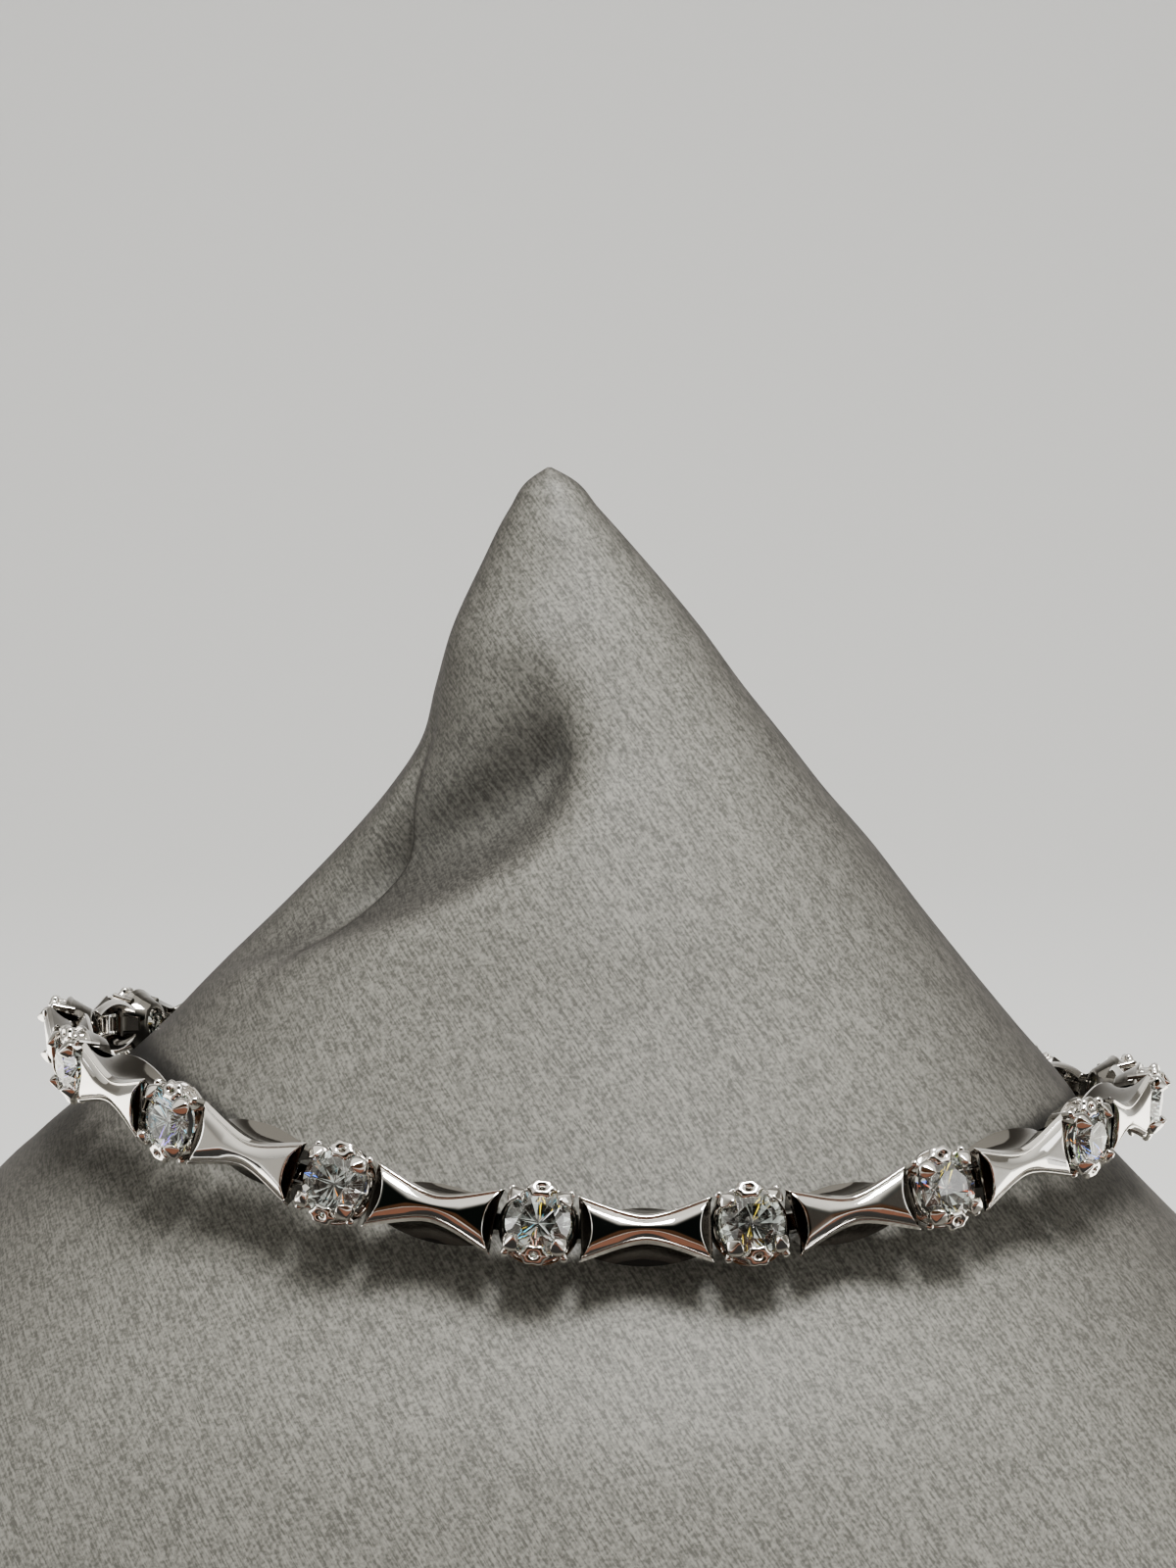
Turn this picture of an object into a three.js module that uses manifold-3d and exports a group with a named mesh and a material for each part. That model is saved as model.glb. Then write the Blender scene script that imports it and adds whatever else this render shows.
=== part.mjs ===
// Tennis bracelet of round stone heads and waisted bone links, lying round a neck-shaped display bust.
// Millimetres, +Z up, -Y front. The origin is the middle of the bust's flat base.
import * as THREE from 'three';
import { ConvexGeometry } from 'three/addons/geometries/ConvexGeometry.js';
import * as BufferGeometryUtils from 'three/addons/utils/BufferGeometryUtils.js';
import Module from 'manifold-3d';

// Chain
const BRACELET_LENGTH = 178;
const UNIT_COUNT = 17;
const LOOP_DEPTH_SHARE = 0.88;
const FIRST_UNIT_TURN = -175.7;

// Route of the chain over the shoulders of the bust
const LOOP_HEIGHT = 33.4;
const SHOULDER_RISE = 1.72;
const RIGHT_DROP = 1.31;
const FRONT_SAG = 0.7;
const BACK_DIP = 1.4;
const BACK_DIP_TURN = 115;
const BACK_DIP_SPREAD = 35;
const SIDE_TILT = -5;
const FRONT_TILT = 27;

// Stones
const STONE_DIAMETER = 3.3;
const TABLE_SHARE = 0.57;
const CROWN_SHARE = 0.155;
const PAVILION_SHARE = 0.42;
const GIRDLE_THICKNESS = 0.1;
const STONE_GAP = 0.08;

// Heads
const GIRDLE_LEVEL = 1.15;
const CUP_BASE_RADIUS = 1.2;
const CUP_SEAT_DEPTH = 0.42;
const COLLAR_RADIUS = 2.05;
const COLLAR_LEVEL = 0.2;
const PRONG_RADIUS = 0.34;
const PRONG_RISE = 0.3;
const LOBE_RADIUS = 0.55;
const LOBE_OVERHANG = 0.38;
const LOBE_BASE = 0.1;
const EYE_WALL = 0.2;
const EYE_HALF_THICKNESS = 0.42;

// Bone links
const CRESCENT_GAP = 0.85;
const LINK_FRONT = 1.1;
const LINK_BACK = 1.1;
const HORN_HALF_HEIGHT = 1.7;
const WAIST_HALF_HEIGHT = 0.76;
const RAIL_HALF_HEIGHT = 1.5;
const RAIL_END_HALF_HEIGHT = 0.95;
const BEVEL = 0.24;
const LINK_WALL = 0.3;
const FRONT_WALL = 0.5;
const SCOOP = 0.34;

// Hinges
const PIN_RADIUS = 0.22;
const PIN_INSET = 0.42;
const PIN_DEPTH = 0.25;
const HINGE_GAP = 0.14;

// Clasp
const CLASP_HALF_HEIGHT = 1.45;

// Display bust
const SEAT_DROP = 3.24;
const NECK_RISE = 35.2;
const SEAT_GAP = 0.2;
const PEAK_SHIFT = 3;
const FOLD_DEPTH = 2.8;
const FOLD_LIP = 0.7;

const pitch = BRACELET_LENGTH / UNIT_COUNT;
const loopRadius = BRACELET_LENGTH / (2 * Math.PI);
const stoneRadius = STONE_DIAMETER / 2;
const crownHeight = STONE_DIAMETER * CROWN_SHARE;
const pavilionDepth = STONE_DIAMETER * PAVILION_SHARE;
const crescentRadius = stoneRadius + CRESCENT_GAP;
const eyeHole = PIN_RADIUS + HINGE_GAP;
const eyeRadius = eyeHole + EYE_WALL;

// Half length of a link at a height: the ends are crescents drawn round the neighbouring heads.
function linkEnd(height) {
  return pitch / 2 - Math.sqrt(crescentRadius ** 2 - height ** 2);
}

const pinX = linkEnd(0) - PIN_INSET;
const eyeX = (pitch / 2) * (1 - PIN_DEPTH / loopRadius) - pinX;

function material(color, metalness, roughness) {
  return new THREE.MeshStandardMaterial({ color, metalness, roughness });
}

// Closed skin over rings of equal point count. The two end rings are filled by their own outline.
function skin(rings, capIndices) {
  const count = rings[0].length;
  const positions = rings.flat().flatMap((p) => [p.x, p.y, p.z]);
  const index = [];
  for (let ring = 0; ring + 1 < rings.length; ring += 1) {
    for (let i = 0; i < count; i += 1) {
      const next = (i + 1) % count;
      const a = ring * count + i;
      const b = ring * count + next;
      index.push(a, b, b + count, a, b + count, a + count);
    }
  }
  const last = (rings.length - 1) * count;
  for (const [a, b, c] of capIndices) {
    index.push(a, c, b);
    index.push(last + a, last + b, last + c);
  }
  const geometry = new THREE.BufferGeometry();
  geometry.setAttribute('position', new THREE.Float32BufferAttribute(positions, 3));
  geometry.setIndex(index);
  return geometry;
}

const wasm = await Module();
wasm.setup();

function toManifold(source) {
  const bare = source.clone();
  bare.deleteAttribute('normal');
  bare.deleteAttribute('uv');
  const geometry = BufferGeometryUtils.mergeVertices(bare, 1e-4);
  return new wasm.Manifold(new wasm.Mesh({
    numProp: 3,
    vertProperties: new Float32Array(geometry.attributes.position.array),
    triVerts: new Uint32Array(geometry.index.array),
  }));
}

function fromManifold(solid) {
  const { vertProperties, triVerts } = solid.getMesh();
  const geometry = new THREE.BufferGeometry();
  geometry.setAttribute('position', new THREE.Float32BufferAttribute(vertProperties, 3));
  geometry.setIndex(Array.from(triVerts));
  return geometry;
}

function join(first, ...others) {
  return fromManifold(others.reduce((solid, part) => solid.add(toManifold(part)), toManifold(first)));
}

function cut(first, ...others) {
  return fromManifold(others.reduce((solid, part) => solid.subtract(toManifold(part)), toManifold(first)));
}

// Round body turned about the local Z axis from [radius, level] points.
function turned(profile, segments) {
  const points = profile.map(([radius, level]) => new THREE.Vector2(radius, level));
  return new THREE.LatheGeometry(points, segments).rotateX(Math.PI / 2);
}

// Round brilliant with an eight-sided table, sixteen-sided girdle and a pointed pavilion.
function brilliant() {
  const table = stoneRadius * TABLE_SHARE;
  const points = [new THREE.Vector3(0, 0, GIRDLE_LEVEL - pavilionDepth)];
  for (let i = 0; i < 16; i += 1) {
    const turn = (i / 16) * 2 * Math.PI;
    const x = Math.cos(turn);
    const y = Math.sin(turn);
    points.push(new THREE.Vector3(stoneRadius * x, stoneRadius * y, GIRDLE_LEVEL - GIRDLE_THICKNESS / 2));
    points.push(new THREE.Vector3(stoneRadius * x, stoneRadius * y, GIRDLE_LEVEL + GIRDLE_THICKNESS / 2));
    if (i % 2 === 0) {
      points.push(new THREE.Vector3(table * x, table * y, GIRDLE_LEVEL + crownHeight));
    }
  }
  return new ConvexGeometry(points);
}

// Round pocket that clears the pavilion of the stone.
function seat() {
  const girdle = (stoneRadius + STONE_GAP) / Math.cos(Math.PI / 8);
  return turned([
    [0, GIRDLE_LEVEL - pavilionDepth - 2 * STONE_GAP],
    [girdle, GIRDLE_LEVEL - GIRDLE_THICKNESS / 2 - STONE_GAP],
    [girdle, GIRDLE_LEVEL + 0.5],
    [0, GIRDLE_LEVEL + 0.5],
  ], 8).rotateZ(Math.PI / 8);
}

// Claw rising beside the girdle out of the cup's wall, its bead leaning in over the crown.
// Rows give level, middle radius and half thickness in and across the stone's radius.
function prong(turn) {
  const besideGirdle = stoneRadius + STONE_GAP + PRONG_RADIUS * 0.58;
  const overCrown = GIRDLE_LEVEL + crownHeight;
  const rows = [
    [0, stoneRadius - 0.1, PRONG_RADIUS * 0.9, PRONG_RADIUS * 0.9],
    [GIRDLE_LEVEL, besideGirdle, PRONG_RADIUS * 0.5, PRONG_RADIUS],
    [overCrown - PRONG_RISE * 0.5, besideGirdle - PRONG_RADIUS * 0.45, PRONG_RADIUS, PRONG_RADIUS * 1.1],
    [overCrown + PRONG_RISE * 0.7, stoneRadius - PRONG_RADIUS * 0.3, PRONG_RADIUS * 0.5, PRONG_RADIUS * 0.6],
  ];
  const rings = rows.map(([level, middle, thick, wide]) => Array.from({ length: 5 }, (_, i) => {
    const round = (i / 5) * 2 * Math.PI;
    return new THREE.Vector3(middle + thick * Math.cos(round), wide * Math.sin(round), level);
  }));
  return skin(rings, [[0, 1, 2], [0, 2, 3], [0, 3, 4]]).rotateZ(turn);
}

// Half-round gallery lobe between two claws at the top or bottom of the head.
function lobe(side) {
  const outline = new THREE.Shape();
  outline.absarc(0, 0, LOBE_RADIUS, 0, Math.PI, false);
  const centre = stoneRadius + LOBE_OVERHANG - LOBE_RADIUS;
  return new THREE.ExtrudeGeometry(outline, { depth: GIRDLE_LEVEL, bevelEnabled: false, curveSegments: 2 })
    .translate(0, centre, LOBE_BASE)
    .rotateZ(side > 0 ? 0 : Math.PI);
}

// Flat hinge tongue with a round eye for the pin of the next link.
function tongue(side) {
  const outline = new THREE.Shape();
  outline.moveTo(CUP_BASE_RADIUS * 0.8, -eyeRadius * 0.8);
  outline.absarc(eyeX, 0, eyeRadius, -Math.PI / 2, Math.PI / 2, false);
  outline.lineTo(CUP_BASE_RADIUS * 0.8, eyeRadius * 0.8);
  const hole = new THREE.Path();
  hole.absarc(eyeX, 0, eyeHole / Math.cos(Math.PI / 4), 0, 2 * Math.PI, true);
  outline.holes.push(hole);
  const options = { depth: 2 * EYE_HALF_THICKNESS, bevelEnabled: false, curveSegments: 2 };
  return new THREE.ExtrudeGeometry(outline, options)
    .translate(0, 0, -EYE_HALF_THICKNESS)
    .rotateX(Math.PI / 2)
    .rotateZ(side > 0 ? 0 : Math.PI)
    .translate(0, 0, -PIN_DEPTH);
}

function headGeometry() {
  const rim = GIRDLE_LEVEL - CUP_SEAT_DEPTH;
  const cup = turned([
    [0, -LINK_BACK + 0.1],
    [CUP_BASE_RADIUS, -LINK_BACK + 0.1],
    [COLLAR_RADIUS, COLLAR_LEVEL],
    [stoneRadius + 0.1, rim],
    [0, rim],
  ], 8).rotateZ(Math.PI / 8);
  const prongs = [1, 3, 5, 7].map((eighth) => prong((eighth * Math.PI) / 4));
  return join(cut(join(cup, lobe(1), lobe(-1)), seat()), ...prongs, tongue(1), tongue(-1));
}

// Half heights of a link's section along its half length, from the waist to the horns.
const BONE_STATIONS = [
  { along: 0, horn: 0, rail: 1 },
  { along: 0.34, horn: 0.16, rail: 0.87 },
  { along: 0.68, horn: 0.55, rail: 0.46 },
  { along: 1, horn: 1, rail: 0 },
];

function boneSection({ horn, rail }) {
  const front = WAIST_HALF_HEIGHT + (HORN_HALF_HEIGHT - WAIST_HALF_HEIGHT) * horn;
  const back = RAIL_END_HALF_HEIGHT + (RAIL_HALF_HEIGHT - RAIL_END_HALF_HEIGHT) * rail;
  const scoop = (front + back) / 2 - SCOOP;
  return [
    [front - BEVEL, LINK_FRONT],
    [front, LINK_FRONT - BEVEL],
    [scoop, 0],
    [back, -LINK_BACK + BEVEL],
    [back - LINK_WALL, -LINK_BACK],
    [scoop - LINK_WALL, LINK_FRONT - FRONT_WALL],
  ];
}

function boxSection() {
  return [
    [CLASP_HALF_HEIGHT - BEVEL, LINK_FRONT],
    [CLASP_HALF_HEIGHT, LINK_FRONT - BEVEL],
    [CLASP_HALF_HEIGHT, 0],
    [CLASP_HALF_HEIGHT, -LINK_BACK + BEVEL],
    [EYE_HALF_THICKNESS + 2 * HINGE_GAP, -LINK_BACK],
    [EYE_HALF_THICKNESS + 2 * HINGE_GAP, LINK_FRONT - FRONT_WALL],
  ];
}

function channelGeometry(sectionOf) {
  const mirrored = BONE_STATIONS.slice(1).reverse().map((row) => ({ ...row, along: -row.along }));
  const rings = [...mirrored, ...BONE_STATIONS].map((row) => {
    const upper = sectionOf(row);
    const outline = [...upper, ...upper.map(([y, z]) => [-y, z]).reverse()];
    return outline.map(([y, z]) => new THREE.Vector3(row.along * linkEnd(y), y, z));
  });
  const caps = THREE.ShapeUtils.triangulateShape(rings[0].map((p) => new THREE.Vector2(p.y, p.z)), []);
  const channel = skin(rings.reverse(), caps.map(([a, b, c]) => [a, c, b]));
  const pins = [1, -1].map((side) => new THREE.CylinderGeometry(PIN_RADIUS, PIN_RADIUS, 2 * (EYE_HALF_THICKNESS + 0.5), 6)
    .translate(side * pinX, 0, -PIN_DEPTH));
  return join(channel, ...pins);
}

// Route of the hinge line, and the frame of a unit on it: X along, Y up, Z outward.
const halfWidth = (() => {
  const share = LOOP_DEPTH_SHARE;
  const round = 3 * (1 + share) - Math.sqrt((3 + share) * (1 + 3 * share));
  return BRACELET_LENGTH / (Math.PI * round);
})();
const halfDepth = halfWidth * LOOP_DEPTH_SHARE;

// One at the centre, falling to nothing a few spreads away on both sides.
function bell(value, centre, spread) {
  return Math.exp(-(((value - centre) / spread) ** 2));
}

function routePoint(turn) {
  const swing = RIGHT_DROP * Math.sin(turn) + SHOULDER_RISE * Math.cos(2 * turn) + FRONT_SAG * Math.cos(3 * turn);
  const dip = BACK_DIP * bell(THREE.MathUtils.radToDeg(turn), BACK_DIP_TURN, BACK_DIP_SPREAD);
  return new THREE.Vector3(halfWidth * Math.sin(turn), -halfDepth * Math.cos(turn), LOOP_HEIGHT - swing - dip);
}

const ROUTE_POINTS = 72;
const start = THREE.MathUtils.degToRad(FIRST_UNIT_TURN);
const route = new THREE.CatmullRomCurve3(
  Array.from({ length: ROUTE_POINTS }, (_, i) => routePoint(start + (i / ROUTE_POINTS) * 2 * Math.PI)),
  true,
);
route.arcLengthDivisions = 1440;

// The chain leans back on the flare of the neck at the front and stands nearly upright over its sides.
function place(mesh, unit) {
  const at = unit / UNIT_COUNT;
  const point = route.getPointAt(at);
  const frontness = Math.max(-point.y / halfDepth, 0) ** 3;
  const tilt = SIDE_TILT + (FRONT_TILT - SIDE_TILT) * frontness;
  const along = route.getTangentAt(at);
  const outward = along.clone().cross(new THREE.Vector3(0, 0, 1)).normalize();
  outward.applyAxisAngle(along, THREE.MathUtils.degToRad(-tilt));
  const up = outward.clone().cross(along);
  const frame = new THREE.Matrix4().makeBasis(along, up, outward).setPosition(point);
  mesh.applyMatrix4(frame);
  return mesh;
}

// Display bust: level and the four half spans of each section, as shares of the neck at the chain's seat.
// Levels above the seat are shares of the rise to the peak, levels below it shares of the seat's height.
const seatLevel = LOOP_HEIGHT - SEAT_DROP;
const neckHalfDepth = halfDepth - LINK_BACK - SEAT_GAP;
const neckHalfWidth = halfWidth - LINK_BACK - SEAT_GAP;
const peakLevel = LOOP_HEIGHT + NECK_RISE;
const BUST_SECTIONS = [
  { level: -1, left: 1.84, right: 1.78, front: 1.62, back: 1.6 },
  { level: -0.86, left: 1.87, right: 1.8, front: 1.64, back: 1.62 },
  { level: -0.66, left: 1.78, right: 1.66, front: 1.54, back: 1.5 },
  { level: -0.45, left: 1.63, right: 1.46, front: 1.42, back: 1.38 },
  { level: -0.28, left: 1.46, right: 1.29, front: 1.29, back: 1.22 },
  { level: -0.12, left: 1.27, right: 1.12, front: 1.11, back: 1.07 },
  { level: 0, left: 1.14, right: 1.0, front: 0.98, back: 0.95 },
  { level: 0.09, left: 1.0, right: 0.92, front: 0.875, back: 0.85 },
  { level: 0.18, left: 0.865, right: 0.82, front: 0.775, back: 0.79 },
  { level: 0.27, left: 0.745, right: 0.725, front: 0.68, back: 0.7 },
  { level: 0.36, left: 0.615, right: 0.635, front: 0.6, back: 0.61 },
  { level: 0.45, left: 0.49, right: 0.55, front: 0.52, back: 0.53 },
  { level: 0.53, left: 0.39, right: 0.465, front: 0.45, back: 0.45 },
  { level: 0.6, left: 0.32, right: 0.4, front: 0.385, back: 0.39 },
  { level: 0.68, left: 0.28, right: 0.325, front: 0.32, back: 0.32 },
  { level: 0.77, left: 0.23, right: 0.25, front: 0.25, back: 0.25 },
  { level: 0.86, left: 0.16, right: 0.165, front: 0.17, back: 0.17 },
  { level: 0.94, left: 0.09, right: 0.085, front: 0.1, back: 0.1 },
  { level: 0.985, left: 0.038, right: 0.038, front: 0.045, back: 0.045 },
];
const BUST_SIDES = 40;

// The sheet's fold on the left of the front: a valley that sinks to the left under a bulging lip.
function foldOut(rise, turn) {
  const within = 1 / ((1 + Math.exp((turn - 4.6) / 0.05)) * (1 + Math.exp((3.4 - turn) / 0.08)));
  const valleyRise = 0.5 - 0.092 * (4.6 - turn);
  return within * (FOLD_LIP * bell(rise, 0.665, 0.055) - FOLD_DEPTH * bell(rise, valleyRise, 0.075));
}

function bustRing({ level, left, right, front, back }) {
  const z = seatLevel + level * (level < 0 ? seatLevel : peakLevel - seatLevel);
  const rise = Math.max(level, 0);
  const shift = -PEAK_SHIFT * rise ** 2;
  return Array.from({ length: BUST_SIDES }, (_, i) => {
    const turn = (i / BUST_SIDES) * 2 * Math.PI;
    const width = neckHalfWidth * (Math.cos(turn) < 0 ? left : right);
    const depth = neckHalfDepth * (Math.sin(turn) < 0 ? front : back);
    const grow = 1 + foldOut(rise, turn) / Math.hypot(width, depth);
    return new THREE.Vector3(shift + width * Math.cos(turn) * grow, depth * Math.sin(turn) * grow, z);
  });
}

function bustGeometry() {
  const rings = BUST_SECTIONS.map(bustRing);
  const fan = Array.from({ length: BUST_SIDES - 2 }, (_, i) => [0, i + 1, i + 2]);
  const top = Array.from({ length: BUST_SIDES }, () => new THREE.Vector3(-PEAK_SHIFT, 0, peakLevel));
  return BufferGeometryUtils.mergeVertices(skin([...rings, top], fan), 1e-4);
}

const assembly = new THREE.Group();
assembly.name = 'tennis_bracelet_on_bust';

function add(name, geometry, look, unit) {
  const mesh = new THREE.Mesh(geometry, look);
  mesh.name = name;
  if (unit !== undefined) {
    place(mesh, unit);
  }
  assembly.add(mesh);
}

const head = headGeometry();
const stone = brilliant();
const bone = channelGeometry(boneSection);
for (let unit = 0; unit < UNIT_COUNT; unit += 1) {
  const number = String(unit + 1).padStart(2, '0');
  add(`setting_${number}`, head.clone(), material(0xe3e1dc, 1, 0.12), unit);
  add(`stone_${number}`, stone.clone(), material(0xf2f6fa, 0, 0.02), unit);
  if (unit < UNIT_COUNT - 1) {
    add(`bone_link_${number}`, bone.clone(), material(0xe3e1dc, 1, 0.12), unit + 0.5);
  }
}
add('clasp', channelGeometry(boxSection), material(0xe3e1dc, 1, 0.12), UNIT_COUNT - 0.5);
add('display_bust', bustGeometry(), material(0x7d7a76, 0, 0.6));

export default assembly;
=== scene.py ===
"""Tennis bracelet: round stone heads and waisted bone links, lying round a gray neck-shaped display bust."""
import math

import bmesh
import bpy
import numpy as np
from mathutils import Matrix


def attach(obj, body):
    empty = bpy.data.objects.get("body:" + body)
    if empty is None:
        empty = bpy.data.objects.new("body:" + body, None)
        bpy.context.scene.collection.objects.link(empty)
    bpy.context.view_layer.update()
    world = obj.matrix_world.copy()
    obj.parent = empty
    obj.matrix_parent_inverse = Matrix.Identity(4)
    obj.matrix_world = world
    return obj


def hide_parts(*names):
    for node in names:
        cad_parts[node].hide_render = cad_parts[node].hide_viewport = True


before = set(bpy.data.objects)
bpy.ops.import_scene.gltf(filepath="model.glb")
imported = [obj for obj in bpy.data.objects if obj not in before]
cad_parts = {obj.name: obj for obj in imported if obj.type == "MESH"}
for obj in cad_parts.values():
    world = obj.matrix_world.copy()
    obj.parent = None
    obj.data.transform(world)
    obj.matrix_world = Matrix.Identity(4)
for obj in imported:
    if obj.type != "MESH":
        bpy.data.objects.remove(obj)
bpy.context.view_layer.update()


# Display bust
# The neck-shaped form that the chain lies round: a stiff core under one sheet of satin leatherette,
# drawn to a twisted point at the top, creased by a fold at its left and flaring to the shoulders.

MM = 0.001
BRACELET_LENGTH = 178.0
LOOP_DEPTH_SHARE = 0.88
LOOP_HEIGHT = 33.4
SEAT_DROP = 3.24
NECK_RISE = 35.2
PEAK_SHIFT = 3.0
PEAK_LEVEL = 0.94
LINK_BACK = 1.1
SEAT_GAP = 0.2
BUST_RINGS, PEAK_RINGS, BUST_AROUND = 260, 24, 300
BUST_CRISP_ANGLE = 60

# The chain lies in an oval of this length, whose circumference is read from its two half spans.
OVAL_ROUND = 3 * (1 + LOOP_DEPTH_SHARE) - math.sqrt((3 + LOOP_DEPTH_SHARE) * (1 + 3 * LOOP_DEPTH_SHARE))
HALF_WIDTH = BRACELET_LENGTH / (math.pi * OVAL_ROUND)
HALF_DEPTH = HALF_WIDTH * LOOP_DEPTH_SHARE

# Level of each section over the chain's seat, and its half spans as shares of the neck at the seat.
BUST_SECTIONS = np.array([
    # level, left, right, front, back
    [-1.00, 1.84, 1.78, 1.62, 1.60],
    [-0.86, 1.87, 1.80, 1.64, 1.62],
    [-0.66, 1.78, 1.66, 1.54, 1.50],
    [-0.45, 1.63, 1.46, 1.42, 1.38],
    [-0.28, 1.46, 1.29, 1.29, 1.22],
    [-0.12, 1.27, 1.12, 1.11, 1.07],
    [0.00, 1.14, 1.00, 0.98, 0.95],
    [0.09, 1.00, 0.92, 0.875, 0.85],
    [0.18, 0.865, 0.82, 0.775, 0.79],
    [0.27, 0.745, 0.725, 0.68, 0.70],
    [0.36, 0.615, 0.635, 0.60, 0.61],
    [0.45, 0.49, 0.55, 0.52, 0.53],
    [0.53, 0.39, 0.465, 0.45, 0.45],
    [0.60, 0.32, 0.40, 0.385, 0.39],
    [0.68, 0.28, 0.325, 0.32, 0.32],
    [0.77, 0.23, 0.25, 0.25, 0.25],
    [0.86, 0.16, 0.165, 0.17, 0.17],
    [0.94, 0.09, 0.085, 0.10, 0.10],
    [0.985, 0.038, 0.038, 0.045, 0.045],
    [1.0, 0.004, 0.004, 0.004, 0.004],
])

# The chain's ups and downs round the neck.
SHOULDER_RISE = 1.72
RIGHT_DROP = 1.31
FRONT_SAG = 0.7
BACK_DIP = 1.4
BACK_DIP_TURN = math.radians(115)
BACK_DIP_SPREAD = math.radians(35)

# The folds, with turns in radians from the neck's right and rises as shares of its height.
FOLD_LEFT_END, FOLD_RIGHT_END = 3.40, 4.62
FOLD_END_RISE, FOLD_END_CURVE, FOLD_END_SLANT = 0.6, 12, 0.5
VALLEY_DEPTH, VALLEY_TURN, VALLEY_RISE, VALLEY_SLANT = 4.2, 4.6, 0.57, 0.16
VALLEY_SPREAD_BELOW, VALLEY_SPREAD_ABOVE = 0.12, 0.10
LIP_BULGE, LIP_BULGE_RISE, LIP_BULGE_SPREAD = 0.6, 0.76, 0.06
CREASE_DEPTH, CREASE_TURN, CREASE_RISE, CREASE_SLANT = 1.8, 3.555, 0.43, 0.5
CREASE_WIDTH, CREASE_SPREAD = 0.065, 0.12
SWELL, SWELL_TURN, SWELL_RISE = 0.5, 4.7, 0.34

# Painted shade on the satin: a painted shadow in a band from a little below the chain's middle line, and
# painted shade in the fold round its valley.
BAND_TOP, BAND_WIDTH, BAND_EXTRA_AT_SIDES = 0.2, 1.1, 1.8
FOLD_SHADE, FOLD_SHADE_BELOW, FOLD_SHADE_ABOVE = 0.5, 0.10, 0.155


def smooth_rows(table, at):
    """Rows of a table read at any value of its first column, along a cubic whose slope at each row is
    the slope between the rows before and after it."""
    key = table[:, 0]
    slopes = np.gradient(table, key, axis=0)
    row = np.clip(np.searchsorted(key, at, side="right") - 1, 0, len(key) - 2)
    gap = (key[row + 1] - key[row])[:, None]
    t = (at[:, None] - key[row][:, None]) / gap
    return ((2 * t**3 - 3 * t**2 + 1) * table[row] + (t**3 - 2 * t**2 + t) * gap * slopes[row]
            + (3 * t**2 - 2 * t**3) * table[row + 1] + (t**3 - t**2) * gap * slopes[row + 1])


def bell(value, centre, spread):
    """One at the centre, falling to nothing a few spreads away on both sides."""
    return np.exp(-(((value - centre) / spread) ** 2))


def step_up(value, place, width):
    """Rises from nothing to one about a place, over a few widths."""
    return 1 / (1 + np.exp((place - value) / width))


def columns(*parts):
    """Arrays of matching shapes, or single numbers, side by side along the last axis of one array."""
    return np.stack(np.broadcast_arrays(*parts), axis=-1)


def full_turn(count):
    """Evenly spaced turns round a circle, from zero on, with the whole turn left out."""
    return np.linspace(0, 2 * np.pi, count, endpoint=False)


def chain_height(turn):
    """Height of the chain's middle line at a turn round the neck from the front. It rides higher over the
    shoulders than at the front and back, hangs a little lower on its right and dips at the back."""
    drop = RIGHT_DROP * np.sin(turn) + SHOULDER_RISE * np.cos(2 * turn) + FRONT_SAG * np.cos(3 * turn)
    return LOOP_HEIGHT - drop - BACK_DIP * bell(turn % (2 * np.pi), BACK_DIP_TURN, BACK_DIP_SPREAD)


def fold_within(rise, turn, width):
    """One between the fold's left end and its round right end, which draws back below and above its own
    rise, and the rise of the fold's slanting valley at the turn."""
    over = rise - FOLD_END_RISE
    drawn_back = FOLD_END_CURVE * np.minimum(over, 0) ** 2 + FOLD_END_SLANT * np.maximum(over, 0)
    round_end = FOLD_RIGHT_END - drawn_back
    within = step_up(turn, FOLD_LEFT_END, 0.08) * (1 - step_up(turn, round_end, width))
    return within, VALLEY_RISE - VALLEY_SLANT * (VALLEY_TURN - turn)


def fold_out(rise, turn):
    """How far the sheet's folds stand out. On the left of the front a valley sinks to the left under a
    bulging lip, and its round end stops at the middle. A crease further round parts the sheet's rear edge."""
    within, valley_rise = fold_within(rise, turn, 0.07)
    valley_spread = np.where(rise < valley_rise, VALLEY_SPREAD_BELOW, VALLEY_SPREAD_ABOVE)
    valley = -VALLEY_DEPTH * bell(rise, valley_rise, valley_spread)
    lip = LIP_BULGE * bell(rise, LIP_BULGE_RISE, LIP_BULGE_SPREAD)
    crease_turn = CREASE_TURN - CREASE_SLANT * (rise - CREASE_RISE)
    crease = -CREASE_DEPTH * bell(turn, crease_turn, CREASE_WIDTH) * bell(rise, CREASE_RISE, CREASE_SPREAD)
    swell = SWELL * bell(rise, SWELL_RISE, 0.15) * bell(turn, SWELL_TURN, 0.5)
    return within * (valley + lip) + crease + swell


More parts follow.
